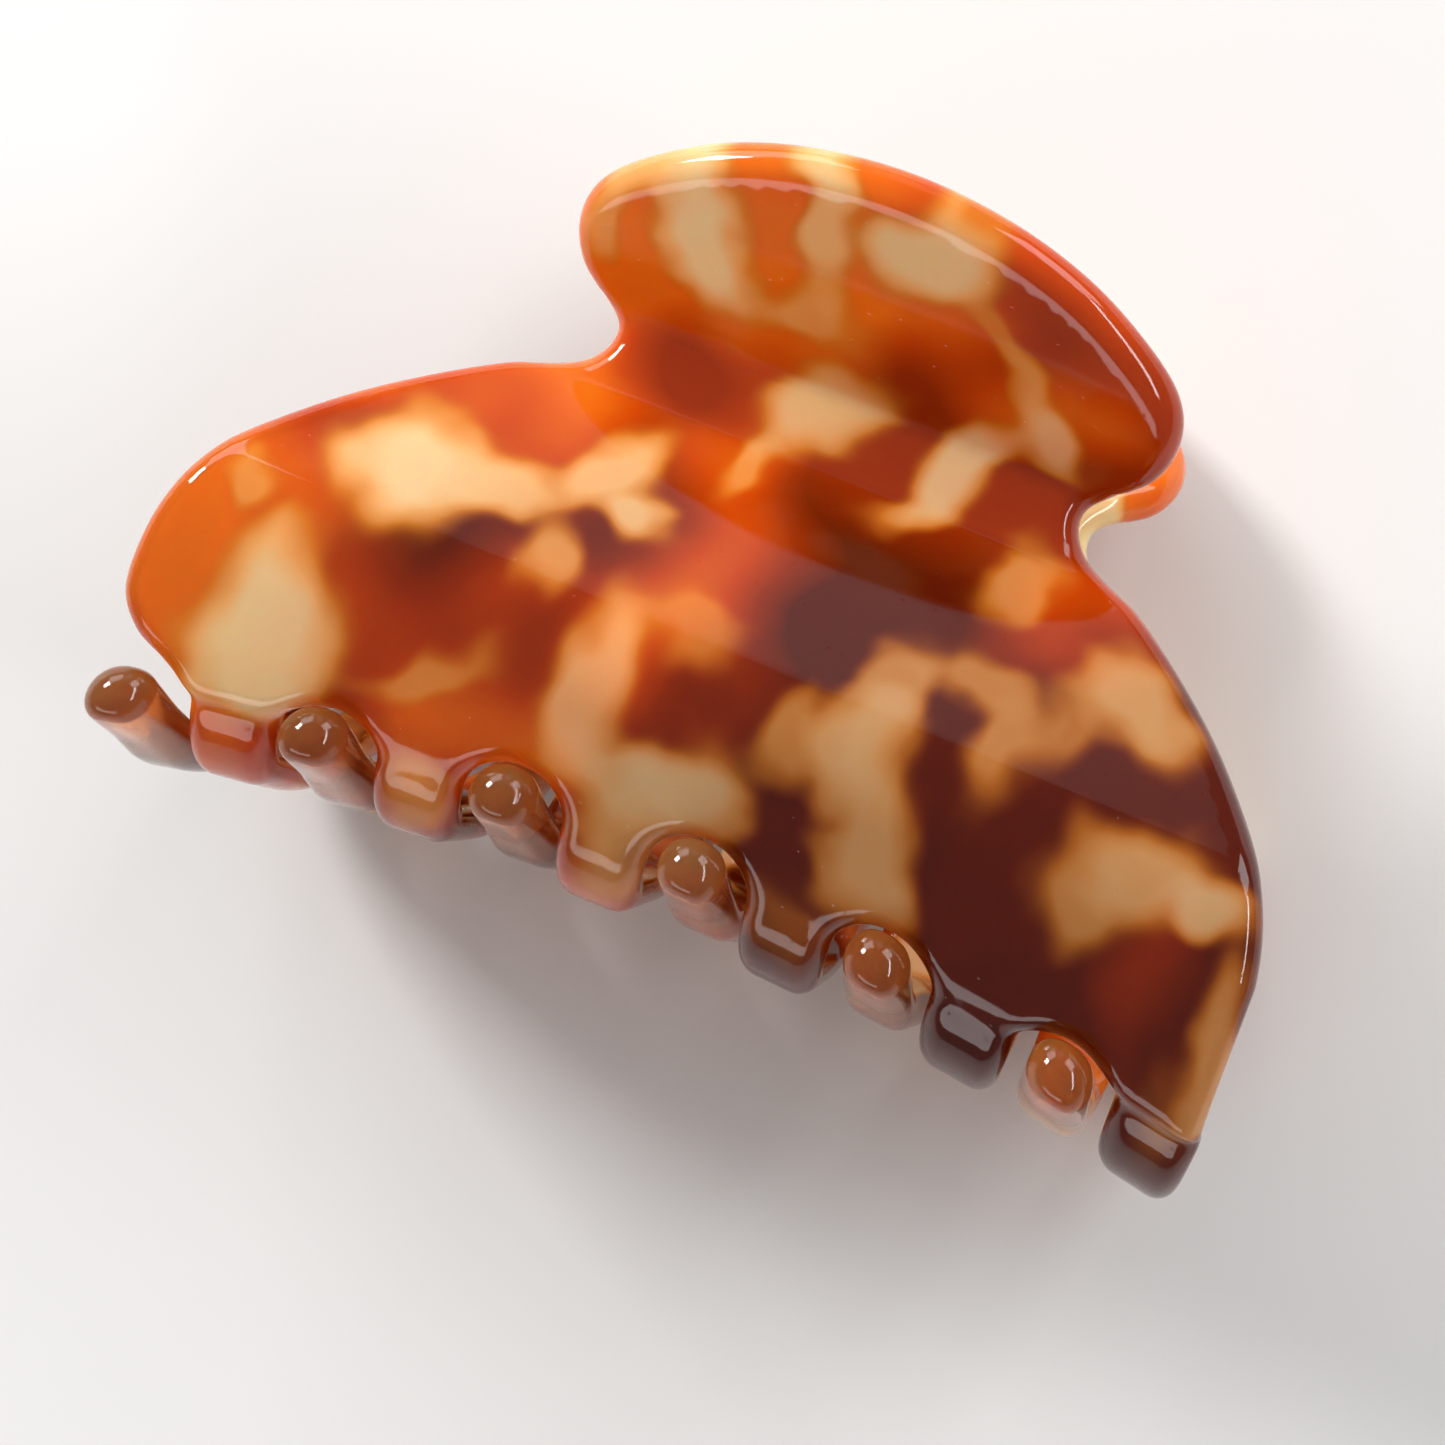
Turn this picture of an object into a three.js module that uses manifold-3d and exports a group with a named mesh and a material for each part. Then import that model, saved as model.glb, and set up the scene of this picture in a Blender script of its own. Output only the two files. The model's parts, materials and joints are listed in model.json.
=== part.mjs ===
// Hair claw clip: two alike acetate jaws, turned back to back on a sprung metal hinge.
// Millimetres, +Z up. The clip lies on its back jaw, handles towards +Y and teeth towards -Y.
import * as THREE from "three";
import { mergeVertices } from "three/addons/utils/BufferGeometryUtils.js";
import Module from "manifold-3d";

const wasm = await Module();
wasm.setup();

// ---- driving dimensions ----
const sheetThickness = 4;
const rimRadius = sheetThickness / 2;
const toothCount = 6;
const toothPitch = 15.95;
const toothShift = toothPitch / 4;
const toothRootWidth = 7.3;
const toothTipWidth = 5.4;
const tipSwell = 1.2; // the tooth tips are tumbled to beads, a little thicker than the sheet
const swellLength = 9;
const rowSag = 0.0026; // drop per square millimetre: the row of teeth bows down to both ends
const turnShare = 0.62; // share of that drop where the teeth turn in; slots and tips have all of it
const archHeight = -33.4; // top of the slots between the teeth

const handleHalfWidth = 25.7;
const neckHalfWidth = 20.4;
const bodyHalfWidth = 47.6;

const pinRadius = 1.2;
const pinHeadRadius = 1.9;
const pinHeadThickness = 0.8;
const pinPlay = 0.15; // gap between an ear and the pin's head
const earHoleRadius = 1.45;
const earRadius = 2.7;
const leafThickness = 0.8;
const leafGap = 0.3;
const wireRadius = 0.55;
const wireGap = 0.15; // play between the wire's legs and the leaves
const coilRadius = 2.6;
const coilHalfLength = 4.4;
const coilTurns = 6;
const screwRadius = 0.8;
const screwHoleRadius = 1.1;
const screwHoleDepth = 2.6;
const screwHeadRadius = 1.5;
const screwHeadThickness = 0.7;

// ---- the bent section of a jaw ----
// x is the distance out from the pin, y is the height above it. Each corner is a bend with its radius.
const bendCorners = [
  { name: "handle top", x: 22.0, y: 17.5 },
  { name: "handle bend", x: 8.6, y: 3.5, radius: 4 },
  { name: "shoulder bend", x: 8.6, y: -3.5, radius: 6 },
  { name: "bulge", x: 22.9, y: -23.0, radius: 7 },
  { name: "tooth root", x: 18.0, y: -33.0, radius: 8 },
  { name: "tooth turn", x: 14.0, y: -40.6, radius: 6.5 },
  { name: "tooth middle", x: -5.0, y: -39.9, radius: 30 },
  { name: "tooth tip", x: -20.8, y: -36.1 },
];

// Straight runs and arcs, each with its length, start point, heading and curvature.
function roundedPath(corners) {
  const runs = [];
  let from = new THREE.Vector2(corners[0].x, corners[0].y);
  for (let i = 1; i < corners.length; i++) {
    const corner = new THREE.Vector2(corners[i].x, corners[i].y);
    const heading = corner.clone().sub(from).normalize();
    const next = corners[i + 1];
    if (!next) {
      runs.push({ start: from, heading, length: corner.distanceTo(from), curvature: 0 });
      break;
    }
    const nextHeading = new THREE.Vector2(next.x, next.y).sub(corner).normalize();
    const turn = Math.atan2(heading.cross(nextHeading), heading.dot(nextHeading));
    const radius = corners[i].radius;
    const tangent = radius * Math.tan(Math.abs(turn) / 2);
    const arcStart = corner.clone().addScaledVector(heading, -tangent);
    runs.push({ start: from, heading, length: arcStart.distanceTo(from), curvature: 0 });
    runs.push({
      start: arcStart,
      heading,
      length: radius * Math.abs(turn),
      curvature: Math.sign(turn) / radius,
    });
    from = corner.clone().addScaledVector(nextHeading, tangent);
  }
  let station = 0;
  for (const run of runs) {
    run.from = station;
    station += run.length;
  }
  return runs;
}

const section = roundedPath(bendCorners);
const sectionLength = section.at(-1).from + section.at(-1).length;

// Point and outward normal of the sheet's middle at a station, measured down from the handle top.
function sectionAt(station) {
  const run = section.findLast((r) => station >= r.from) ?? section[0];
  const along = station - run.from;
  const angle = along * run.curvature;
  const side = new THREE.Vector2(-run.heading.y, run.heading.x);
  const point = run.start.clone();
  if (run.curvature === 0) {
    point.addScaledVector(run.heading, along);
  } else {
    point.addScaledVector(run.heading, Math.sin(angle) / run.curvature);
    point.addScaledVector(side, (1 - Math.cos(angle)) / run.curvature);
  }
  const heading = run.heading.clone().rotateAround(new THREE.Vector2(), angle);
  return { point, normal: new THREE.Vector2(-heading.y, heading.x) };
}

// Station of a height, found by halving; heights fall steadily from the handle to the tooth turn.
const turnStation = section.find((r) => r.curvature < 0 && r.start.y < archHeight).from;
function stationAt(height) {
  let low = -rimRadius;
  let high = turnStation;
  for (let i = 0; i < 40; i++) {
    const middle = (low + high) / 2;
    if (sectionAt(middle).point.y > height) low = middle;
    else high = middle;
  }
  return (low + high) / 2;
}

// ---- the flat blank ----
const archStation = stationAt(archHeight);
const slotRadius = (toothPitch - toothRootWidth) / 2;
const slotStation = archStation + slotRadius;
const tipStation = sectionLength + rimRadius - toothTipWidth / 2;

// One side of the blank from the handle top to the bulge: half width at each height above the pin.
const sideHeights = [
  [8, 18.3],
  [15, 16.6],
  [20.6, 14.1],
  [24.4, 11.5],
  [handleHalfWidth, 8.8],
  [24.9, 6.0],
  [22.3, 3.7],
  [neckHalfWidth, 1.2],
  [22.0, -1.9],
  [28.3, -5.4],
  [36.2, -11.4],
  [42, -17.5],
  [45.2, -22.6],
  [46.7, -26.0],
];

const pointsPerSpan = 2;
const roundSteps = 6; // chords in the half circle of a tooth tip or a slot top

// Points of a smooth curve through the given ones; the first and last only guide its ends.
function curveThrough(points) {
  const spline = new THREE.SplineCurve(points);
  const steps = (points.length - 1) * pointsPerSpan;
  const drawn = steps - 2 * pointsPerSpan;
  return Array.from({ length: drawn + 1 }, (_, i) => spline.getPoint((i + pointsPerSpan) / steps));
}

function arcPoints(x, y, radius, from, to, steps) {
  return Array.from({ length: steps + 1 }, (_, i) => {
    const angle = from + ((to - from) * i) / steps;
    return new THREE.Vector2(x + radius * Math.cos(angle), y + radius * Math.sin(angle));
  });
}

// The outline runs down the right side, along the teeth to the left, and up the left side.
function blankOutline() {
  const top = new THREE.Vector2(0, -rimRadius);
  const side = sideHeights.map(([x, height]) => new THREE.Vector2(x, stationAt(height)));
  const otherSide = side.map((point) => new THREE.Vector2(-point.x, point.y));
  const belowBulge = new THREE.Vector2(bodyHalfWidth, stationAt(-29.5));
  const right = curveThrough([otherSide[0], top, ...side, belowBulge]);
  const teeth = [];
  for (let i = toothCount - 1; i >= 0; i--) {
    const x = (i - (toothCount - 1) / 2) * toothPitch + toothShift;
    const tipHalf = toothTipWidth / 2;
    teeth.push(...arcPoints(x, tipStation, tipHalf, 0, Math.PI, roundSteps));
    if (i > 0) {
      teeth.push(...arcPoints(x - toothPitch / 2, slotStation, slotRadius, 0, -Math.PI, roundSteps));
    }
  }
  const lastTooth = ((toothCount - 1) / 2) * toothPitch + toothShift;
  const rightRoot = new THREE.Vector2(lastTooth + toothRootWidth / 2, slotStation);
  // The left end rounds under and meets the first tooth in a small hollow.
  const firstSide = -lastTooth + 2 * toothShift - toothRootWidth / 2;
  const left = curveThrough([
    new THREE.Vector2(firstSide, slotStation + 6),
    new THREE.Vector2(firstSide, slotStation + 1.5),
    new THREE.Vector2(firstSide - 0.7, stationAt(-34.6)),
    new THREE.Vector2(-42.3, stationAt(-32.4)),
    new THREE.Vector2(-45.1, stationAt(-30.6)),
    new THREE.Vector2(-46.9, stationAt(-28.6)),
    ...otherSide.reverse(),
    top,
    side[0],
  ]);
  return [...right, rightRoot, ...teeth, ...left.slice(0, -1)];
}

// Moves an outline in by a distance, along its own normals.
function insetOutline(points, distance) {
  const count = points.length;
  const inward = THREE.ShapeUtils.area(points) > 0 ? 1 : -1;
  return points.map((point, i) => {
    const before = points[(i + count - 1) % count];
    const after = points[(i + 1) % count];
    const incoming = point.clone().sub(before).normalize();
    const outgoing = after.clone().sub(point).normalize();
    const tangent = incoming.add(outgoing).normalize();
    const normal = new THREE.Vector2(-tangent.y, tangent.x).multiplyScalar(inward);
    return point.clone().addScaledVector(normal, distance);
  });
}

// ---- bending ----
// Splits edges that cross a line where one coordinate is constant, so the sheet can bend there.
// Whether an edge is split depends on its two ends alone, so neighbouring triangles still meet.
const onLine = 0.05;
function splitTriangles(triangles, axis, at, isSplit) {
  const crossing = (a, b) => {
    const before = a[axis] - at;
    const after = b[axis] - at;
    if (before * after >= 0 || Math.min(Math.abs(before), Math.abs(after)) < onLine) return null;
    if (!isSplit(a, b)) return null;
    const [low, high] = before < 0 ? [a, b] : [b, a];
    return low.clone().lerp(high, (at - low[axis]) / (high[axis] - low[axis]));
  };
  return triangles.flatMap((triangle) => {
    const ring = [];
    const cuts = [];
    triangle.forEach((corner, i) => {
      ring.push(corner);
      const cut = crossing(corner, triangle[(i + 1) % 3]);
      if (cut) {
        cuts.push(ring.length);
        ring.push(cut);
      }
    });
    if (cuts.length === 0) return [triangle];
    const first = cuts[0];
    const turned = [...ring.slice(first), ...ring.slice(0, first)];
    return Array.from({ length: turned.length - 2 }, (_, i) => [
      turned[0],
      turned[i + 1],
      turned[i + 2],
    ]);
  });
}

const keyOf = (point) => point.toArray().map((value) => value.toFixed(5)).join();

// Joins triangles that lie side by side in one flat face into the loops round them.
function loopsAround(triangles) {
  const edges = new Map();
  for (const triangle of triangles) {
    triangle.forEach((from, i) => {
      const to = triangle[(i + 1) % 3];
      const back = keyOf(to) + "|" + keyOf(from);
      if (edges.has(back)) edges.delete(back);
      else edges.set(keyOf(from) + "|" + keyOf(to), { from, to });
    });
  }
  const nextOf = new Map([...edges.values()].map((edge) => [keyOf(edge.from), edge.to]));
  const loops = [];
  while (nextOf.size > 0) {
    const loop = [];
    let key = nextOf.keys().next().value;
    while (nextOf.has(key)) {
      const point = nextOf.get(key);
      nextOf.delete(key);
      loop.push(point);
      key = keyOf(point);
    }
    loops.push(loop);
  }
  return loops;
}

// Fills a flat face again with few triangles, once the points along its bend lines are dropped.
function refillFace(triangles) {
  return loopsAround(triangles).flatMap((loop) => {
    const kept = loop.filter((point, i) => {
      const before = loop.at(i - 1);
      const after = loop[(i + 1) % loop.length];
      return point.y !== before.y || point.y !== after.y;
    });
    const outline = kept.map((point) => new THREE.Vector2(point.x, point.y));
    const facing = Math.sign(kept[0].z) || 1;
    return THREE.ShapeUtils.triangulateShape(outline, []).map(([a, b, c]) => {
      const turn = outline[b].clone().sub(outline[a]).cross(outline[c].clone().sub(outline[a]));
      return turn * facing > 0 ? [kept[a], kept[b], kept[c]] : [kept[a], kept[c], kept[b]];
    });
  });
}

const smoothRise = (x, from, to) => THREE.MathUtils.smoothstep(x, from, to);
const bulgeStation = stationAt(-22);
const rowStation = stationAt(-32);
const middleStation = section.at(-2).from;

// How far the sheet drops away from the clip's middle, where the row of teeth bows.
function sagAt(x, station) {
  const row = smoothRise(station, bulgeStation, rowStation);
  const turn = smoothRise(station, archStation, turnStation);
  const onward = smoothRise(station, turnStation, middleStation);
  return rowSag * x * x * (row - (1 - turnShare) * (turn - onward));
}

// Carries a point of the flat blank (x across, -y down the jaw, z through the sheet) to its bent place.
function bend(flat) {
  const station = -flat.y;
  const { point, normal } = sectionAt(station);
  const swell = 1 + (tipSwell - 1) * smoothRise(station, sectionLength - swellLength, sectionLength);
  const out = point.x + normal.x * flat.z * swell;
  const up = point.y + normal.y * flat.z * swell - sagAt(flat.x, station);
  return new THREE.Vector3(flat.x, up, out);
}

// Stations where the sheet is split before bending: along each arc, and a few between.
const arcStep = THREE.MathUtils.degToRad(24);
const longestFlat = 20;
function bendStations() {
  const stations = [];
  for (const run of section) {
    const turn = Math.abs(run.length * run.curvature);
    const parts = Math.max(1, Math.round(turn / arcStep), Math.round(run.length / longestFlat));
    for (let i = 0; i < parts; i++) {
      stations.push(run.from + (run.length * i) / parts);
    }
  }
  return stations.filter((station) => station > 0);
}

// Refills both flat sides of the sheet, one stretch between bend lines at a time.
function refillFlats(triangles, stations) {
  const groups = new Map();
  for (const triangle of triangles) {
    const flat = triangle.every((corner) => Math.abs(corner.z) > rimRadius - 1e-4);
    const middle = -(triangle[0].y + triangle[1].y + triangle[2].y) / 3;
    const stretch = stations.filter((station) => station < middle).length;
    const group = flat ? stretch + " " + Math.sign(triangle[0].z) : "rim";
    if (!groups.has(group)) groups.set(group, []);
    groups.get(group).push(triangle);
  }
  return [...groups].flatMap(([group, members]) => (group === "rim" ? members : refillFace(members)));
}

function jawGeometry() {
  const flatOutline = insetOutline(blankOutline(), rimRadius).map((p) => new THREE.Vector2(p.x, -p.y));
  const web = 0.04;
  const blank = new THREE.ExtrudeGeometry(new THREE.Shape(flatOutline), {
    depth: web,
    steps: 1,
    bevelThickness: rimRadius - web / 2,
    bevelSize: rimRadius,
    bevelSegments: 2,
  });
  blank.translate(0, 0, -web / 2);
  const positions = blank.getAttribute("position");
  let triangles = [];
  for (let i = 0; i < positions.count; i += 3) {
    triangles.push([0, 1, 2].map((k) => new THREE.Vector3().fromBufferAttribute(positions, i + k)));
  }
  const stations = bendStations();
  for (const station of stations) {
    triangles = splitTriangles(triangles, "y", -station, () => true);
  }
  triangles = refillFlats(triangles, stations);
  const bowed = (a, b) => Math.max(a.y, b.y) < -bulgeStation && Math.min(a.y, b.y) > -archStation;
  for (let x = -2.5 * toothPitch; x < 3 * toothPitch; x += toothPitch) {
    triangles = splitTriangles(triangles, "x", x, bowed);
  }
  return new THREE.BufferGeometry().setFromPoints(triangles.flat().map(bend));
}

// ---- solids ----
function solidOf(geometry) {
  const bare = geometry.index ? geometry.toNonIndexed() : geometry.clone();
  for (const name of Object.keys(bare.attributes)) {
    if (name !== "position") bare.deleteAttribute(name);
  }
  const merged = mergeVertices(bare, 1e-4);
  return new wasm.Manifold(
    new wasm.Mesh({
      numProp: 3,
      vertProperties: merged.getAttribute("position").array,
      triVerts: new Uint32Array(merged.index.array),
    }),
  );
}

function geometryOf(solid) {
  const mesh = solid.getMesh();
  const geometry = new THREE.BufferGeometry();
  geometry.setAttribute("position", new THREE.BufferAttribute(mesh.vertProperties, 3));
  geometry.setIndex(new THREE.BufferAttribute(mesh.triVerts, 1));
  geometry.computeVertexNormals();
  return geometry;
}

// A rod along Z from one height to another.
function rod(radius, from, to, x, y) {
  const cylinder = new THREE.CylinderGeometry(radius, radius, to - from, 16);
  cylinder.rotateX(Math.PI / 2);
  cylinder.translate(x, y, (from + to) / 2);
  return solidOf(cylinder);
}

// ---- hinge hardware ----
const neckInside = bendCorners[1].x - sheetThickness / 2;
const leafOutside = neckInside - leafGap;
const leafInside = leafOutside - leafThickness;
const leafBottom = -5.6;
const leafTabLength = 5.4;
const handleFlare = Math.atan2(
  bendCorners[0].x - bendCorners[1].x,
  bendCorners[0].y - bendCorners[1].y,
);
const leafTabStart = bendCorners[1].y + (rimRadius + leafGap) * Math.tan(handleFlare / 2);
const nearEar = 5.6; // the two ears sit off centre, so the turned leaf's ears pass beside them
const farEar = 6.8;
const screwPlaces = { left: -2.6, right: 3.8 };
const screwHeight = 0.2;

// A shape drawn as (distance out, height), made as thick as asked along X.
function plateAcross(shape, from, to, curveSegments = 10) {
  const plate = new THREE.ExtrudeGeometry(shape, { depth: to - from, bevelEnabled: false, curveSegments });
  plate.rotateY(-Math.PI / 2);
  plate.translate(to, 0, 0);
  return plate;
}

function leafGeometry() {
  const tab = new THREE.Vector2(Math.sin(handleFlare), Math.cos(handleFlare));
  const across = new THREE.Vector2(tab.y, -tab.x);
  const outerTurn = new THREE.Vector2(leafOutside, leafTabStart);
  const innerTurn = new THREE.Vector2(
    leafInside,
    leafTabStart + leafThickness * Math.tan(handleFlare / 2),
  );
  const outerEnd = outerTurn.clone().addScaledVector(tab, leafTabLength);
  const innerEnd = outerEnd.clone().addScaledVector(across, -leafThickness);
  const strip = new THREE.Shape([
    new THREE.Vector2(leafInside, leafBottom),
    new THREE.Vector2(leafOutside, leafBottom),
    outerTurn,
    outerEnd,
    innerEnd,
    innerTurn,
  ]);
  let leaf = solidOf(plateAcross(strip, -nearEar - leafThickness, farEar + leafThickness));

  const ear = new THREE.Shape();
  ear.moveTo(leafInside + leafThickness / 2, -earRadius);
  ear.lineTo(leafInside + leafThickness / 2, earRadius);
  ear.lineTo(0, earRadius);
  ear.absarc(0, 0, earRadius, Math.PI / 2, (3 * Math.PI) / 2, false);
  const hole = new THREE.Path();
  hole.absarc(0, 0, earHoleRadius, 0, 2 * Math.PI, true);
  ear.holes.push(hole);
  for (const from of [-nearEar - leafThickness, farEar]) {
    leaf = leaf.add(solidOf(plateAcross(ear, from, from + leafThickness, 12)));
  }
  for (const x of Object.values(screwPlaces)) {
    leaf = leaf.subtract(rod(screwHoleRadius, leafInside - 1, leafOutside + 1, x, screwHeight));
  }
  return geometryOf(leaf);
}

// A pan-head screw, driven outwards from inside the clip, head towards the pin.
function screwGeometry() {
  const shankEnd = neckInside + screwHoleDepth - leafGap;
  const headTop = leafInside - 0.1;
  const headEdge = headTop - screwHeadThickness * 0.45;
  const profile = [
    new THREE.Vector2(0, headTop - screwHeadThickness),
    new THREE.Vector2(screwHeadRadius * 0.7, headTop - screwHeadThickness * 0.9),
    new THREE.Vector2(screwHeadRadius, headEdge),
    new THREE.Vector2(screwHeadRadius, headTop),
    new THREE.Vector2(screwRadius, headTop),
    new THREE.Vector2(screwRadius, shankEnd - screwRadius * 0.5),
    new THREE.Vector2(screwRadius * 0.5, shankEnd),
    new THREE.Vector2(0, shankEnd),
  ];
  const screw = new THREE.LatheGeometry(profile, 16);
  screw.rotateX(Math.PI / 2);
  return screw;
}

function drilledJaw() {
  let jaw = solidOf(jawGeometry());
  for (const x of Object.values(screwPlaces)) {
    const hole = rod(screwHoleRadius, neckInside - 1, neckInside + screwHoleDepth, x, screwHeight);
    jaw = jaw.subtract(hole);
  }
  return geometryOf(jaw);
}

function pinGeometry() {
  const shoulder = farEar + leafThickness + pinPlay;
  const end = shoulder + pinHeadThickness;
  const profile = [
    new THREE.Vector2(0, -end),
    new THREE.Vector2(pinHeadRadius * 0.6, -end),
    new THREE.Vector2(pinHeadRadius, -end + pinHeadThickness * 0.5),
    new THREE.Vector2(pinHeadRadius, -shoulder),
    new THREE.Vector2(pinRadius, -shoulder),
    new THREE.Vector2(pinRadius, shoulder),
    new THREE.Vector2(pinHeadRadius, shoulder),
    new THREE.Vector2(pinHeadRadius, end - pinHeadThickness * 0.5),
    new THREE.Vector2(pinHeadRadius * 0.6, end),
    new THREE.Vector2(0, end),
  ];
  const pin = new THREE.LatheGeometry(profile, 24);
  pin.rotateZ(-Math.PI / 2);
  return pin;
}

// The spring wire: a leg on the back leaf's tab, the coil round the pin, and a leg on the front tab.
class SpringWire extends THREE.Curve {
  constructor() {
    super();
    const reach = leafTabLength * 0.86; // the wire stops short of the tab's end
    const off = wireRadius + wireGap;
    const tabFootHeight = leafTabStart + leafThickness * Math.tan(handleFlare / 2);
    this.end = new THREE.Vector2(
      leafInside + reach * Math.sin(handleFlare) - off * Math.cos(handleFlare),
      tabFootHeight + reach * Math.cos(handleFlare) + off * Math.sin(handleFlare),
    );
    const bearing = Math.atan2(this.end.y, this.end.x);
    this.leave = bearing + Math.acos(coilRadius / this.end.length());
    this.sweep = 2 * Math.PI * coilTurns - (2 * this.leave - Math.PI);
    this.legLength = Math.sqrt(this.end.lengthSq() - coilRadius ** 2);
    this.coilLength = this.sweep * coilRadius;
  }
  getPoint(share, target = new THREE.Vector3()) {
    const total = this.coilLength + 2 * this.legLength;
    const along = share * total - total / 2;
    const halfCoil = this.coilLength / 2;
    const onCoil = THREE.MathUtils.clamp(along, -halfCoil, halfCoil);
    const beyond = along - onCoil;
    // The coil is laid out from its middle, which faces straight down or up, so both halves match.
    const angle = this.leave + ((halfCoil - onCoil) / this.coilLength) * this.sweep;
    const x = (coilHalfLength * onCoil) / halfCoil;
    const out = coilRadius * Math.cos(angle) + beyond * Math.sin(angle);
    const up = coilRadius * Math.sin(angle) - beyond * Math.cos(angle);
    return target.set(x, up, out);
  }
}

function springGeometry() {
  const wire = new THREE.Shape();
  wire.absarc(0, 0, wireRadius, 0, 2 * Math.PI, false);
  return new THREE.ExtrudeGeometry(wire, {
    steps: 100,
    curveSegments: 4,
    bevelEnabled: false,
    extrudePath: new SpringWire(),
  });
}

// ---- materials ----
const acetate = () => new THREE.MeshStandardMaterial({ color: 0xb4541c, roughness: 0.12, metalness: 0 });
const steel = (color) => new THREE.MeshStandardMaterial({ color, roughness: 0.3, metalness: 1 });

// ---- the clip ----
const clip = new THREE.Group();

function addPiece(group, name, geometry, material) {
  const piece = new THREE.Mesh(geometry, material);
  piece.name = name;
  group.add(piece);
  return piece;
}

// Both sides are the same three pieces; the back one is turned half round the upright axis.
const jaw = drilledJaw();
const leaf = leafGeometry();
const screw = screwGeometry();
for (const side of ["front", "back"]) {
  const half = new THREE.Group();
  half.rotation.y = side === "back" ? Math.PI : 0;
  addPiece(half, side + "_jaw", jaw, acetate());
  addPiece(half, side + "_hinge_leaf", leaf, steel(0xc9c6bd));
  for (const [place, x] of Object.entries(screwPlaces)) {
    addPiece(half, side + "_screw_" + place, screw, steel(0xb9b6ae)).position.set(x, screwHeight, 0);
  }
  clip.add(half);
}
addPiece(clip, "hinge_pin", pinGeometry(), steel(0xaaa79f));
addPiece(clip, "torsion_spring", springGeometry(), steel(0x8f9294));

// The row's origin is under the middle of the clip's box, on the table.
clip.updateMatrixWorld(true);
const box = new THREE.Box3().setFromObject(clip, true);
const middle = box.getCenter(new THREE.Vector3());
clip.position.set(-middle.x, -middle.y, -box.min.z);

export default clip;
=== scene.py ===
import json
import math

import bmesh
import bpy
import numpy as np
from mathutils import Matrix, Vector
from mathutils.geometry import delaunay_2d_cdt


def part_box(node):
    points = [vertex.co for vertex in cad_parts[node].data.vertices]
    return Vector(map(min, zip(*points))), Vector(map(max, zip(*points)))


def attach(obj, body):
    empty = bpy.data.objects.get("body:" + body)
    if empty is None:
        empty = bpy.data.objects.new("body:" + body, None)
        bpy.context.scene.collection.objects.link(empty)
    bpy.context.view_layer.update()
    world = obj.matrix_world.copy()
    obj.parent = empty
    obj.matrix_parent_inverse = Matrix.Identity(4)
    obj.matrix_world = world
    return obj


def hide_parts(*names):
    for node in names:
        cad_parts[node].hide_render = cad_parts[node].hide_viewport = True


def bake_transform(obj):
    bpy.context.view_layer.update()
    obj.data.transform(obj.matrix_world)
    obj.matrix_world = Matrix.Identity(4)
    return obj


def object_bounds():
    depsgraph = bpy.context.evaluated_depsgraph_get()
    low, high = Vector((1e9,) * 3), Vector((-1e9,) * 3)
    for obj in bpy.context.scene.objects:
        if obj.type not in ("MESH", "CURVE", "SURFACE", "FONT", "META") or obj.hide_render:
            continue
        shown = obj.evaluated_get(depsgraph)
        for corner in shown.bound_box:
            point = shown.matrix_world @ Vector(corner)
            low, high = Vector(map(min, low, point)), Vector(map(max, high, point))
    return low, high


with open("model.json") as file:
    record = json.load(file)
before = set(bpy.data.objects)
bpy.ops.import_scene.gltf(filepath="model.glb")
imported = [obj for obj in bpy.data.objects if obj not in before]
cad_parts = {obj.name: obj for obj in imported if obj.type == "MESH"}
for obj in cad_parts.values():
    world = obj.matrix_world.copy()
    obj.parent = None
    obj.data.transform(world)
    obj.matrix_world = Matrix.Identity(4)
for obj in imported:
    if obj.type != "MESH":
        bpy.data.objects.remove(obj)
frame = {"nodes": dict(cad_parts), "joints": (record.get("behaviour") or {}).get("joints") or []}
cad_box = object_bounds()

MM = 0.001
hinge = frame["joints"][0]
PIN = Vector(hinge["pos_m"])

# ---- sizes of the sheet and the hinge, in millimetres ----
SHEET_THICKNESS = 4.0
RIM_RADIUS = SHEET_THICKNESS / 2
TOOTH_COUNT = 6
TOOTH_PITCH = 15.95
TOOTH_SHIFT = TOOTH_PITCH / 4
TOOTH_ROOT_WIDTH = 7.3
TOOTH_TIP_WIDTH = 5.4
TIP_SWELL = 1.2  # the tips are tumbled to beads, a little thicker than the sheet
SWELL_LENGTH = 9.0
ROW_SAG = 0.0026  # drop per square millimetre: the row of teeth bows down to both ends
TURN_SHARE = 0.62  # share of that drop where the teeth turn in
ARCH_HEIGHT = -33.4  # top of the slots between the teeth
BODY_HALF_WIDTH = 47.6

LEAF_THICKNESS = 0.8
LEAF_GAP = 0.3
LEAF_TAB_LENGTH = 5.4
WIRE_RADIUS = 0.55
WIRE_GAP = 0.15  # play between the wire's legs and the leaves
COIL_RADIUS = 2.6
COIL_HALF_LENGTH = 4.4
COIL_TURNS = 6

# Bends of the jaw's section: distance out from the pin, height above it, bend radius.
BENDS = [
    (22.0, 17.5, 0.0),  # handle top
    (8.6, 3.5, 4.0),  # handle bend
    (8.6, -3.5, 6.0),  # shoulder bend
    (22.9, -23.0, 7.0),  # bulge
    (18.0, -33.0, 8.0),  # tooth root
    (14.0, -40.6, 6.5),  # tooth turn
    (-5.0, -39.9, 30.0),  # tooth middle
    (-20.8, -36.1, 0.0),  # tooth tip
]

# Half width of the blank at each height above the pin, from the handle to the bulge.
SIDE = [
    (8, 18.3),
    (15, 16.6),
    (20.6, 14.1),
    (24.4, 11.5),
    (25.7, 8.8),
    (24.9, 6.0),
    (22.3, 3.7),
    (20.4, 1.2),
    (22.0, -1.9),
    (28.3, -5.4),
    (36.2, -11.4),
    (42, -17.5),
    (45.2, -22.6),
    (46.7, -26.0),
]


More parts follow.
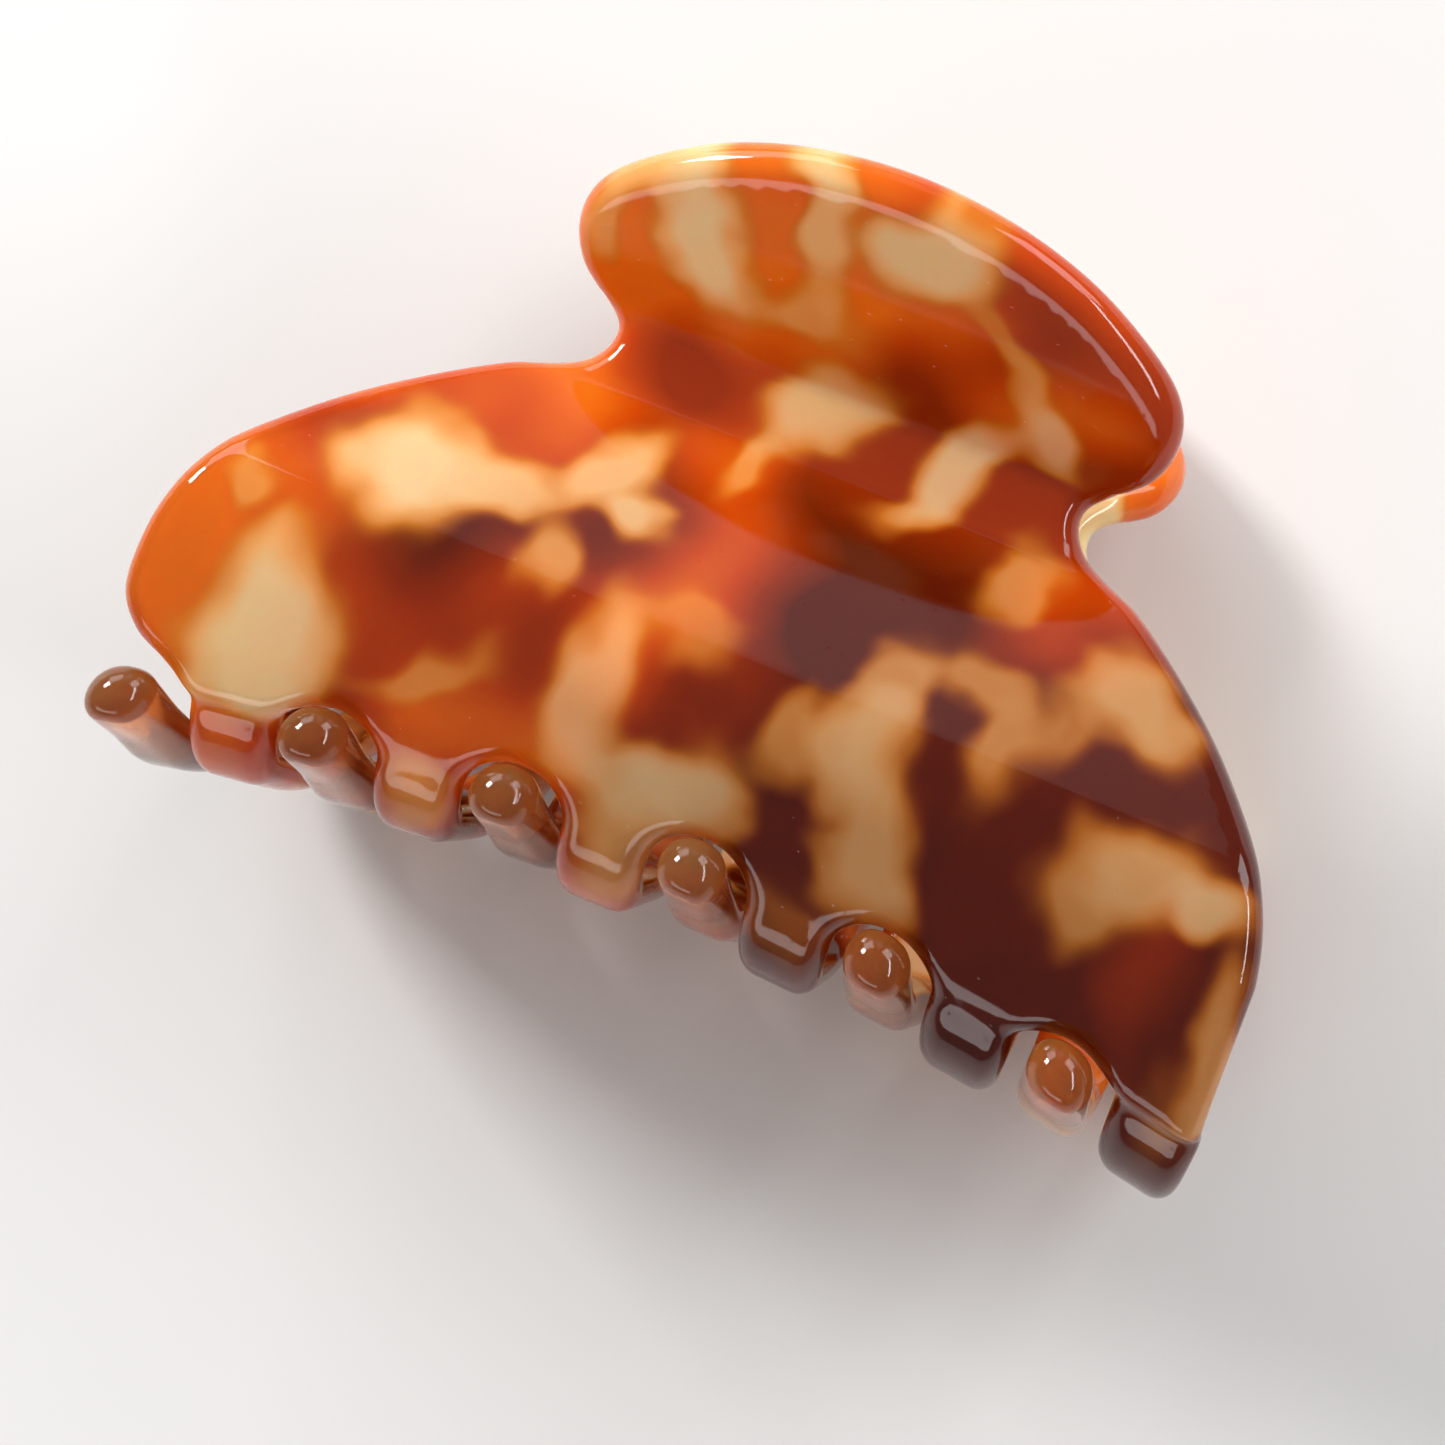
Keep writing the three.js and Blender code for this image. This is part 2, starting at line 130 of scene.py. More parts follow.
# ---- the bent section ----
def section_runs():
    """Straight runs and arcs of the sheet's middle: first station, start, heading, length, curvature."""
    runs = []
    station = 0.0
    start = np.array(BENDS[0][:2])
    for i in range(1, len(BENDS)):
        corner = np.array(BENDS[i][:2])
        heading = (corner - start) / np.linalg.norm(corner - start)
        if i == len(BENDS) - 1:
            runs.append((station, start, heading, np.linalg.norm(corner - start), 0.0))
            break
        onward = np.array(BENDS[i + 1][:2]) - corner
        onward /= np.linalg.norm(onward)
        turn = math.atan2(heading[0] * onward[1] - heading[1] * onward[0], heading @ onward)
        radius = BENDS[i][2]
        tangent = radius * math.tan(abs(turn) / 2)
        bend_start = corner - heading * tangent
        straight = np.linalg.norm(bend_start - start)
        runs.append((station, start, heading, straight, 0.0))
        station += straight
        arc = radius * abs(turn)
        runs.append((station, bend_start, heading, arc, math.copysign(1 / radius, turn)))
        station += arc
        start = corner + onward * tangent
    return runs


RUNS = section_runs()
SECTION_LENGTH = RUNS[-1][0] + RUNS[-1][3]
# Runs and arcs take turns, so the tooth turn's arc is the tenth and the tooth middle's the twelfth.
TURN_STATION = RUNS[9][0]
MIDDLE_STATION = RUNS[11][0]


def section_at(stations):
    """Points and outward normals of the sheet's middle at stations down from the handle top."""
    stations = np.atleast_1d(np.asarray(stations, float))
    points = np.zeros((len(stations), 2))
    normals = np.zeros((len(stations), 2))
    for i, (first, start, heading, length, curvature) in enumerate(RUNS):
        low = -np.inf if i == 0 else first
        high = np.inf if i == len(RUNS) - 1 else first + length
        here = (stations >= low) & (stations < high)
        along = stations[here] - first
        angle = along * curvature
        side = np.array([-heading[1], heading[0]])
        if curvature == 0:
            points[here] = start + along[:, None] * heading
        else:
            points[here] = start + (np.sin(angle) / curvature)[:, None] * heading
            points[here] += ((1 - np.cos(angle)) / curvature)[:, None] * side
        turned = np.cos(angle)[:, None] * heading + np.sin(angle)[:, None] * side
        normals[here] = np.column_stack([-turned[:, 1], turned[:, 0]])
    return points, normals


def station_at(height):
    """Station of a height above the pin, by halving."""
    low, high = -RIM_RADIUS, TURN_STATION
    for _ in range(40):
        middle = (low + high) / 2
        if section_at(middle)[0][0, 1] > height:
            low = middle
        else:
            high = middle
    return (low + high) / 2


def smooth_rise(x, low, high):
    share = np.clip((x - low) / (high - low), 0, 1)
    return share * share * (3 - 2 * share)


BULGE_STATION = station_at(-22)
ROW_STATION = station_at(-32)
ARCH_STATION = station_at(ARCH_HEIGHT)


def sag_at(across, station):
    """How far the sheet drops away from the clip's middle, where the row of teeth bows."""
    row = smooth_rise(station, BULGE_STATION, ROW_STATION)
    turn = smooth_rise(station, ARCH_STATION, TURN_STATION)
    onward = smooth_rise(station, TURN_STATION, MIDDLE_STATION)
    return ROW_SAG * across**2 * (row - (1 - TURN_SHARE) * (turn - onward))


def bend(across, station, depth):
    """Carries points of the flat sheet to where bending puts them: across, height, distance out."""
    points, normals = section_at(station)
    swell = 1 + (TIP_SWELL - 1) * smooth_rise(station, SECTION_LENGTH - SWELL_LENGTH, SECTION_LENGTH)
    out = points[:, 0] + normals[:, 0] * depth * swell
    up = points[:, 1] + normals[:, 1] * depth * swell - sag_at(across, station)
    return np.column_stack([across, up, out])


# ---- the flat blank ----
def curve_through(points, steps=12):
    """Points of a smooth curve through the given ones; the first and last only guide its ends."""
    points = np.array(points, float)
    made = []
    for before, a, b, after in zip(points, points[1:], points[2:], points[3:]):
        leave, arrive = (b - before) / 2, (after - a) / 2
        for t in np.arange(steps) / steps:
            cubic = (2 * a - 2 * b + leave + arrive) * t**3
            square = (-3 * a + 3 * b - 2 * leave - arrive) * t**2
            made.append(cubic + square + leave * t + a)
    made.append(points[-2])
    return np.array(made)


def half_round(across, station, radius, first, last):
    angles = np.radians(np.linspace(first, last, 33))
    return np.column_stack([across + radius * np.cos(angles), station + radius * np.sin(angles)])


def blank_outline(spacing):
    """The blank's outline as (across, station) points at an even spacing."""
    top = (0, -RIM_RADIUS)
    side = [(x, station_at(height)) for x, height in SIDE]
    other_side = [(-x, station) for x, station in side]
    right = curve_through([other_side[0], top, *side, (BODY_HALF_WIDTH, station_at(-29.5))])
    slot_radius = (TOOTH_PITCH - TOOTH_ROOT_WIDTH) / 2
    slot_station = ARCH_STATION + slot_radius
    tip_station = SECTION_LENGTH + RIM_RADIUS - TOOTH_TIP_WIDTH / 2
    teeth = []
    for i in reversed(range(TOOTH_COUNT)):
        x = (i - (TOOTH_COUNT - 1) / 2) * TOOTH_PITCH + TOOTH_SHIFT
        teeth.append(half_round(x, tip_station, TOOTH_TIP_WIDTH / 2, 0, 180))
        if i > 0:
            teeth.append(half_round(x - TOOTH_PITCH / 2, slot_station, slot_radius, 0, -180))
    last_tooth = (TOOTH_COUNT - 1) / 2 * TOOTH_PITCH + TOOTH_SHIFT
    first_side = 2 * TOOTH_SHIFT - last_tooth - TOOTH_ROOT_WIDTH / 2
    left = curve_through(
        [
            (first_side, slot_station + 6),
            (first_side, slot_station + 1.5),
            (first_side - 0.7, station_at(-34.6)),
            (-42.3, station_at(-32.4)),
            (-45.1, station_at(-30.6)),
            (-46.9, station_at(-28.6)),
            *other_side[::-1],
            top,
            side[0],
        ]
    )
    right_root = [(last_tooth + TOOTH_ROOT_WIDTH / 2, slot_station)]
    outline = np.vstack([right, right_root, *teeth, left[:-1]])
    closed = np.vstack([outline, outline[:1]])
    lengths = np.linalg.norm(np.diff(closed, axis=0), axis=1)
    run = np.concatenate([[0], np.cumsum(lengths)])
    even = np.linspace(0, run[-1], int(run[-1] / spacing), endpoint=False)
    return np.column_stack([np.interp(even, run, closed[:, k]) for k in (0, 1)])


def inset(outline, distance):
    """The outline moved in by a distance, along its own normals."""
    tangent = np.roll(outline, -1, axis=0) - np.roll(outline, 1, axis=0)
    tangent /= np.linalg.norm(tangent, axis=1)[:, None]
    return outline + distance * np.column_stack([-tangent[:, 1], tangent[:, 0]])


def inside(points, outline):
    """Which points lie inside a closed outline, by counting crossings."""
    x, y = points[:, 0], points[:, 1]
    result = np.zeros(len(points), bool)
    for (ax, ay), (bx, by) in zip(outline, np.roll(outline, -1, axis=0)):
        crosses = (ay > y) != (by > y)
        if crosses.any():
            cut = ax + (y - ay) / (by - ay) * (bx - ax) if by != ay else ax
            result ^= crosses & (x < cut)
    return result


def polish_ripple(across, station, side):
    """Height of the slight waves that hand tumbling and bending leave in the polished faces."""
    long_wave = np.sin(across / 6.1 + side) * np.sin(station / 5.3 + 2 * side)
    short_wave = np.sin(across / 2.9 + station / 3.7 + 3 * side)
    return 0.022 * long_wave + 0.006 * short_wave


def sheet_mesh(name):
    """A jaw cut flat from sheet, its rim rounded full, then bent."""
    spacing = 0.42  # between points along the rim
    grid_step = 0.72  # between points across the flat faces
    outline = blank_outline(spacing)
    area = outline[:, 0] @ np.roll(outline[:, 1], -1) - outline[:, 1] @ np.roll(outline[:, 0], -1)
    if area < 0:
        outline = outline[::-1]
    count = len(outline)
    turns = np.radians(np.linspace(0, 90, 8))
    rings = [inset(outline, RIM_RADIUS * (1 - math.cos(t))) for t in turns]
    heights = [RIM_RADIUS * math.sin(t) for t in turns]
    edge = rings[-1]
    low, high = edge.min(axis=0), edge.max(axis=0)
    xs, ys = np.meshgrid(np.arange(low[0], high[0], grid_step), np.arange(low[1], high[1], grid_step))
    field = np.column_stack([xs.ravel(), ys.ravel()])
    field = field[inside(field, inset(outline, RIM_RADIUS + grid_step * 0.55))]
    corners = [Vector(p) for p in np.vstack([edge, field])]
    made, _, triangles, origins, _, _ = delaunay_2d_cdt(corners, [], [list(range(count))], 1, 1e-6)
    face_points = np.array([p[:] for p in made])

    flat = [np.column_stack([rings[0], np.zeros(count)])]
    for side in (1, -1):
        for ring, height in zip(rings[1:-1], heights[1:-1]):
            flat.append(np.column_stack([ring, np.full(count, side * height)]))
    first_of_face = {}
    total = sum(len(part) for part in flat)
    for side in (1, -1):
        first_of_face[side] = total
        flat.append(np.column_stack([face_points, np.full(len(face_points), side * RIM_RADIUS)]))
        total += len(face_points)
    flat = np.vstack(flat)

    edge_index = {}
    for index, sources in enumerate(origins):
        for source in sources:
            if source < count:
                edge_index[source] = index
    between = len(rings) - 2

    def ring_vertex(side, level, i):
        i %= count
        if level == 0:
            return i
        if level <= between:
            skipped = 0 if side == 1 else between
            return count * (1 + skipped + level - 1) + i
        return first_of_face[side] + edge_index[i]

    faces = []
    for side in (1, -1):
        for level in range(len(rings) - 1):
            for i in range(count):
                quad = [
                    ring_vertex(side, level, i),
                    ring_vertex(side, level, i + 1),
                    ring_vertex(side, level + 1, i + 1),
                    ring_vertex(side, level + 1, i),
                ]
                faces.append(quad if side == 1 else quad[::-1])
        for triangle in triangles:
            shifted = [first_of_face[side] + k for k in triangle]
            faces.append(shifted if side == 1 else shifted[::-1])

    across, station, depth = flat.T
    swing = np.abs(depth) / RIM_RADIUS
    rippled = depth + swing * np.sign(depth) * polish_ripple(across, station, np.sign(depth))
    bent = bend(across, station, rippled)
    mesh = bpy.data.meshes.new(name)
    mesh.from_pydata(bent * MM, [], faces)
    # The sheet's own map, at 1 to 100 mm.
    layer = mesh.uv_layers.new(name="sheet")
    corner_vertices = np.zeros(len(mesh.loops), int)
    mesh.loops.foreach_get("vertex_index", corner_vertices)
    on_sheet = np.column_stack([across, station])[corner_vertices] / 100
    layer.data.foreach_set("uv", on_sheet.ravel())
    mesh.shade_smooth()
    turned_out = bmesh.new()
    turned_out.from_mesh(mesh)
    bmesh.ops.recalc_face_normals(turned_out, faces=turned_out.faces)
    turned_out.to_mesh(mesh)
    turned_out.free()
    return mesh


def place_at_pin(mesh, side):
    """Moves a mesh drawn as (across, height, out) to the pin; the back one is turned half round."""
    turn = Matrix.Rotation(math.pi, 4, "Y") if side == "back" else Matrix.Identity(4)
    mesh.transform(Matrix.Translation(PIN) @ turn)


def fit_inside(mesh, node):
    """Eases a mesh by under a tenth of a millimetre so that it lies inside its CAD node's box."""
    co = np.empty(len(mesh.vertices) * 3)
    mesh.vertices.foreach_get("co", co)
    co = co.reshape(-1, 3)
    low, high = (np.array(corner[:]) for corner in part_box(node))
    own_low, own_high = co.min(axis=0), co.max(axis=0)
    scale = np.minimum((high - low) / (own_high - own_low), 1)
    middle = (own_low + own_high) / 2
    goal = np.clip(middle, low + (own_high - own_low) * scale / 2, high - (own_high - own_low) * scale / 2)
    mesh.vertices.foreach_set("co", ((co - middle) * scale + goal).ravel())


def add_piece(name, mesh, body, *stands_for):
    piece = bpy.data.objects.new(name, mesh)
    bpy.context.scene.collection.objects.link(piece)
    if body:
        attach(piece, body)
    if stands_for:
        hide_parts(*stands_for)
    return piece


# ---- hinge hardware ----
def wire_path(steps):
    """The spring's centre line: back leg, coil round the pin, front leg."""
    flare = math.atan2(BENDS[0][0] - BENDS[1][0], BENDS[0][1] - BENDS[1][1])
    inside_leaf = BENDS[1][0] - SHEET_THICKNESS / 2 - LEAF_GAP - LEAF_THICKNESS
    foot = BENDS[1][1] + (RIM_RADIUS + LEAF_GAP) * math.tan(flare / 2)
    foot += LEAF_THICKNESS * math.tan(flare / 2)
    reach = LEAF_TAB_LENGTH * 0.86  # the wire stops short of the tab's end
    off = WIRE_RADIUS + WIRE_GAP
    end_out = inside_leaf + reach * math.sin(flare) - off * math.cos(flare)
    end_up = foot + reach * math.cos(flare) + off * math.sin(flare)
    far = math.hypot(end_out, end_up)
    leave = math.atan2(end_up, end_out) + math.acos(COIL_RADIUS / far)
    sweep = 2 * math.pi * COIL_TURNS - (2 * leave - math.pi)
    leg = math.sqrt(far**2 - COIL_RADIUS**2)
    half_coil = sweep * COIL_RADIUS / 2
    along = np.linspace(-half_coil - leg, half_coil + leg, steps)
    on_coil = np.clip(along, -half_coil, half_coil)
    beyond = along - on_coil
    angle = leave + (half_coil - on_coil) / (2 * half_coil) * sweep
    across = COIL_HALF_LENGTH * on_coil / half_coil
    out = COIL_RADIUS * np.cos(angle) + beyond * np.sin(angle)
    up = COIL_RADIUS * np.sin(angle) - beyond * np.cos(angle)
    return np.column_stack([across, up, out])


def wire_mesh(name, path, radius, sides=14):
    """A round wire along a path, its cut ends slightly domed."""
    tangents = np.gradient(path, axis=0)
    tangents /= np.linalg.norm(tangents, axis=1)[:, None]
    normal = np.cross(tangents[0], (1.0, 0.0, 0.0))
    verts = []
    count = len(path)
    for i, (point, tangent) in enumerate(zip(path, tangents)):
        normal = normal - tangent * (normal @ tangent)
        normal /= np.linalg.norm(normal)
        other = np.cross(tangent, normal)
        tight = 0.8 if i in (0, count - 1) else 1.0
        for k in range(sides):
            angle = 2 * math.pi * k / sides
            verts.append(point + radius * tight * (math.cos(angle) * normal + math.sin(angle) * other))
    faces = []
    for i in range(count - 1):
        for k in range(sides):
            a, b = i * sides + k, i * sides + (k + 1) % sides
            faces.append((a, b, b + sides, a + sides))
    faces.append(tuple(reversed(range(sides))))
    faces.append(tuple(range((count - 1) * sides, count * sides)))
    mesh = bpy.data.meshes.new(name)
    mesh.from_pydata(np.array(verts) * MM, [], faces)
    mesh.shade_smooth()
    return mesh


# ---- materials ----
def linear(code):
    """An sRGB hex colour such as C8480A, as linear red, green, blue and alpha."""
    values = [int(code[i : i + 2], 16) / 255 for i in (0, 2, 4)]
    made = [v / 12.92 if v <= 0.04045 else ((v + 0.055) / 1.055) ** 2.4 for v in values]
    return (*made, 1.0)


def add_node(tree, kind, settings=None, links=None):
    """Adds a node. Settings are its properties, input values or ramp stops; links are input: socket."""
    node = tree.nodes.new(kind)
    for key, value in (settings or {}).items():
        if key == "stops":
            elements = node.color_ramp.elements
            while len(elements) < len(value):
                elements.new(0.5)
            for element, (position, code) in zip(elements, value):
                element.position = position
                element.color = linear(code)
        elif isinstance(key, str) and hasattr(node, key) and key not in node.inputs:
            setattr(node, key, value)
        else:
            node.inputs[key].default_value = value
    for key, socket in (links or {}).items():
        tree.links.new(socket, node.inputs[key])
    return node


def new_material(name):
    material = bpy.data.materials.new(name)
    material.use_nodes = True
    tree = material.node_tree
    tree.nodes.clear()
    shader = add_node(tree, "ShaderNodeBsdfPrincipled")
    add_node(tree, "ShaderNodeOutputMaterial", links={"Surface": shader.outputs["BSDF"]})
    return material, tree, shader


# Cream chips of the front jaw: across, station down the sheet, half length, half width, turn, strength.
FRONT_CHIPS = [
    (-14, 8.4, 5.4, 3.2, 66, 1.0),
    (-18.5, 5.2, 4.6, 2.4, -12, 0.75),
    (-23.6, 9.9, 4.4, 1.9, 90, 0.6),
    (-4.8, 4.2, 4.8, 2.2, 74, 0.8),
    (3.2, 2.6, 4.4, 4.0, 0, 0.95),
    (-6.6, -0.2, 3.2, 1.6, 0, 0.8),
    (-4.9, 11.8, 4.4, 2.4, 0, 0.6),
    (10.4, 7.8, 4.2, 1.5, 42, 0.45),
    (16.3, 14, 4.8, 2, 48, 0.9),
    (9.8, 22, 7.9, 2.7, -61, 1.0),
    (-2.3, 21.7, 5.8, 3.6, -61, 0.9),
    (-5, 30, 1.7, 3.2, 0, 0.6),
    (18, 30.2, 2.7, 4.5, 0, 0.65),
    (-29.1, 42.3, 5.8, 5.2, -46, 1.0),
    (-22, 40.6, 4.2, 3.4, 0, 0.85),
    (-16.3, 46.3, 2.3, 2.8, 0, 0.65),
    (-14.9, 35, 2.9, 5, 22, 0.85),
    (-10, 38, 3, 2.9, 0, 0.9),
    (12.6, 43.7, 2, 3.9, 0, 0.65),
    (18.9, 41.1, 4.7, 2.4, 0, 0.6),
    (23, 45.7, 2.5, 3.4, 0, 0.6),
    (27, 41.4, 2.2, 3.9, 0, 0.5),
    (31.2, 37, 5.2, 3, 45, 0.8),
    (36.5, 49.6, 4.6, 2.6, 0, 0.8),
    (42, 50.2, 2.7, 1.4, 0, 0.9),
    (32.6, 53.2, 3.6, 2.4, 0, 0.65),
    (-2, 46.7, 3.3, 2.4, 0, 0.5),
    (7.4, 50.5, 3, 2.1, -30, 0.6),
    (11.9, 49.3, 2.4, 3, 0, 0.7),
    (16, 55, 3.2, 7.2, -22, 0.8),
    (-8.1, 53, 3.2, 6.2, 0, 0.85),
    (-2.9, 58, 4.6, 3.2, 0, 0.8),
    (1.8, 57.7, 3.8, 4.2, 0, 0.9),
    (-34.6, 55.3, 5.6, 3.8, 0, 1.0),
    (-35, 60.8, 4.4, 4.4, 0, 1.0),
    (-20.8, 54.7, 4.9, 1.6, -21, 0.55),
    (45.3, 57, 1.5, 4.4, 0, 0.7),
    (-39.2, 48.8, 2.7, 1.3, 0, 0.55),
    (-20, 66, 2.6, 4, 0, 0.6),
    (-2.6, 65, 3.4, 4.6, 0, 0.7),
    (11.7, 64, 3, 3, 0, 0.35),
    (44.4, 62.7, 2.7, 3.8, -18, 0.45),
]


def chip_mask(tree, chips, place):
    """How milky the sheet is: one soft oval for each listed chip, melted together where they overlap."""
    clear = None
    for across, station, long, wide, turn, strength in chips:
        local = add_node(
            tree,
            "ShaderNodeMapping",
            {
                "vector_type": "TEXTURE",
                "Location": (across, station, 0),
                "Rotation": (0, 0, math.radians(turn)),
                "Scale": (long, wide, 1),
            },
            {"Vector": place},
        ).outputs["Vector"]
        reach = add_node(tree, "ShaderNodeVectorMath", {"operation": "LENGTH"}, {0: local}).outputs["Value"]
        left_clear = add_node(
            tree,
            "ShaderNodeMapRange",
            {
                "interpolation_type": "SMOOTHSTEP",
                "From Min": 0.45,
                "From Max": 1.75,
                "To Min": 1 - strength,
                "To Max": 1.0,
            },
            {"Value": reach},
        ).outputs["Result"]
        if clear is None:
            clear = left_clear
        else:
            both = add_node(tree, "ShaderNodeMath", {"operation": "MULTIPLY"}, {0: clear, 1: left_clear})
            clear = both.outputs["Value"]
    return add_node(tree, "ShaderNodeMath", {"operation": "SUBTRACT", 0: 1.0}, {1: clear}).outputs["Value"]


def acetate(name, chips, seed):
    """Cellulose acetate sheet pressed from broken chips, cut, bent hot and tumbled to a gloss.
    Amber to red-brown and half clear, with milky chips that glow and blur a little below the polish."""
    material, tree, shader = new_material(name)
    uv = add_node(tree, "ShaderNodeUVMap", {"uv_map": "sheet"}).outputs["UV"]
    # The sheet map is drawn at 1 to 100 mm, so this brings it back to millimetres.
    sheet = add_node(
        tree, "ShaderNodeVectorMath", {"operation": "MULTIPLY", 1: (100, 100, 0)}, {0: uv}
    ).outputs["Vector"]
    place = add_node(
        tree, "ShaderNodeVectorMath", {"operation": "ADD", 1: (170 * seed, 90 * seed, 0)}, {0: sheet}
    ).outputs["Vector"]
    # Pressing and heat draw the chips out of true by a millimetre or two, in waves 4 mm and 11 mm long.
    shifted = None
    for wave, reach in ((4.0, 2.6), (11.0, 4.5)):
        flow = add_node(
            tree,
            "ShaderNodeTexNoise",
            {"noise_dimensions": "2D", "Scale": 1 / wave, "Detail": 0.5, "Roughness": 0.4},
            {"Vector": place},
        )
        drift = add_node(
            tree,
            "ShaderNodeVectorMath",
            {"operation": "MULTIPLY_ADD", 1: (reach, reach, 0), 2: (-reach / 2, -reach / 2, 0)},
            {0: flow.outputs["Color"]},
        ).outputs["Vector"]
        if shifted is None:
            shifted = drift
        else:
            shifted = add_node(
                tree, "ShaderNodeVectorMath", {"operation": "ADD"}, {0: shifted, 1: drift}
            ).outputs["Vector"]
    if chips:
        broken = add_node(tree, "ShaderNodeVectorMath", {"operation": "ADD"}, {0: sheet, 1: shifted})
        mask = chip_mask(tree, chips, broken.outputs["Vector"])
    else:
        broken = add_node(tree, "ShaderNodeVectorMath", {"operation": "ADD"}, {0: place, 1: shifted})
        scatter = add_node(
            tree,
            "ShaderNodeTexNoise",
            {"noise_dimensions": "2D", "Scale": 1 / 12, "Detail": 1.0},
            {"Vector": broken.outputs["Vector"]},
        )
        mask = add_node(
            tree,
            "ShaderNodeMapRange",
            {"interpolation_type": "SMOOTHSTEP", "From Min": 0.45, "From Max": 0.66},
            {"Value": scatter.outputs["Fac"]},
        ).outputs["Result"]
    # Slow clouds of dye, 17 mm across, with painted light added: lighter at the left end, where light
    # shines through, darker to the right as painted shade from the dark hollow between the jaws, and
    # lighter toward the handle as painted light shining through it from behind.
    clouds = add_node(
        tree,
        "ShaderNodeTexNoise",
        {"noise_dimensions": "2D", "Scale": 1 / 17, "Detail": 1.2, "Roughness": 0.5},
        {"Vector": place},
    )
    split = add_node(tree, "ShaderNodeSeparateXYZ", links={"Vector": sheet})
    # Painted light and shade: lighter at the left end, darker toward the right.
    painted_shade_left_to_right = add_node(
        tree,
        "ShaderNodeMapRange",
        {"From Min": -46.0, "From Max": 46.0, "To Min": 0.2, "To Max": -0.42},
        {"Value": split.outputs["X"]},
    ).outputs["Result"]
    # Painted light: lighter toward the handle, for light shining through it from behind.
    painted_glow_toward_handle = add_node(
        tree,
        "ShaderNodeMapRange",
        {"From Min": 0.0, "From Max": 42.0, "To Min": 0.36, "To Max": 0.0},
        {"Value": split.outputs["Y"]},
    ).outputs["Result"]
    painted_light_lift = add_node(tree, "ShaderNodeMath", {"operation": "ADD"}, {0: painted_shade_left_to_right, 1: painted_glow_toward_handle})
    clouds_and_painted_light = add_node(
        tree, "ShaderNodeMath", {"operation": "ADD"}, {0: clouds.outputs["Fac"], 1: painted_light_lift.outputs["Value"]}
    )
    # Clouds on the neck and handle are never deeper than a red amber.
    least = add_node(
        tree,
        "ShaderNodeMapRange",
        {"From Min": 26.0, "From Max": 40.0, "To Min": 0.47, "To Max": 0.1},
        {"Value": split.outputs["Y"]},
    ).outputs["Result"]
    dye_and_painted_light = add_node(
        tree, "ShaderNodeMath", {"operation": "MAXIMUM"}, {0: clouds_and_painted_light.outputs["Value"], 1: least}
    ).outputs["Value"]
    amber = add_node(
        tree,
        "ShaderNodeValToRGB",
        {"stops": [(0.28, "6A1A02"), (0.45, "A83404"), (0.6, "DC5206"), (0.78, "FA7E14")]},
        {"Fac": dye_and_painted_light},
    ).outputs["Color"]
    milk = add_node(
        tree,
        "ShaderNodeValToRGB",
        {"stops": [(0.1, "CC6410"), (0.45, "E8922E"), (0.75, "F8BA70"), (1.0, "FFDCA4")]},
        {"Fac": mask},
    ).outputs["Color"]
    whole = add_node(
        tree,
        "ShaderNodeMapRange",
        {"interpolation_type": "SMOOTHSTEP", "From Min": 0.02, "From Max": 0.6},
        {"Value": mask},
    ).outputs["Result"]
    # Most chips lie under some amber, and they are mixed further toward it where the painted light is low,
    # so the same painted shade darkens them toward the right end and away from the handle.
    covered_and_painted_shade = add_node(
        tree,
        "ShaderNodeMapRange",
        {"From Min": 0.2, "From Max": -0.16, "To Min": 0.03, "To Max": 0.45},
        {"Value": painted_light_lift.outputs["Value"]},
    ).outputs["Result"]
    sunk_and_painted_shade = add_node(
        tree, "ShaderNodeMix", {"data_type": "RGBA"}, {"Factor": covered_and_painted_shade, "A": milk, "B": amber}
    ).outputs[2]
    color = add_node(
        tree, "ShaderNodeMix", {"data_type": "RGBA"}, {"Factor": whole, "A": amber, "B": sunk_and_painted_shade}
    ).outputs[2]
    # The amber between the chips is clearer than they are, and the tumbled tips are clearest. The tips are
    # also mixed toward a paler amber, which is painted light standing in for light shining through the
    # beads.
    clear = add_node(
        tree,
        "ShaderNodeMapRange",
        {"From Max": 0.8, "To Min": 0.4, "To Max": 0.1},
        {"Value": mask},
    ).outputs["Result"]
    toward_tips = add_node(
        tree,
        "ShaderNodeMapRange",
        {"interpolation_type": "SMOOTHSTEP", "From Min": 84.0, "From Max": 99.0, "To Max": 0.8},
        {"Value": split.outputs["Y"]},
    ).outputs["Result"]
    # Painted light: the tips' colour is mixed toward pale amber for light shining through the beads.
    tips_painted_glow = add_node(
        tree,
        "ShaderNodeMix",
        {"data_type": "RGBA", 7: linear("FF9E50")},
        {"Factor": toward_tips, "A": color},
    ).outputs[2]
    tree.links.new(tips_painted_glow, shader.inputs["Base Color"])
    # The neck and handle are cloudier than the body, so the dark hollow behind them doesn't show.
    cloudier = add_node(
        tree,
        "ShaderNodeMapRange",
        {"From Min": 24.0, "From Max": 44.0, "To Min": 0.3, "To Max": 1.0},
        {"Value": split.outputs["Y"]},
    ).outputs["Result"]
    hazed = add_node(tree, "ShaderNodeMath", {"operation": "MULTIPLY"}, {0: clear, 1: cloudier})
    clearer = add_node(
        tree, "ShaderNodeMath", {"operation": "MAXIMUM"}, {0: hazed.outputs["Value"], 1: toward_tips}
    )
    tree.links.new(clearer.outputs["Value"], shader.inputs["Transmission Weight"])
    # Handling scuffs, 1.2 mm long, barely dull the polish.
    scuffs = add_node(
        tree,
        "ShaderNodeTexNoise",
        {"noise_dimensions": "2D", "Scale": 1 / 1.2, "Detail": 6.0, "Roughness": 0.75},
        {"Vector": place},
    ).outputs["Fac"]
    polish = add_node(
        tree,
        "ShaderNodeMapRange",
        {"From Min": 0.4, "From Max": 0.75, "To Min": 0.02, "To Max": 0.09},
        {"Value": scuffs},
    ).outputs["Result"]
    tree.links.new(polish, shader.inputs["Roughness"])
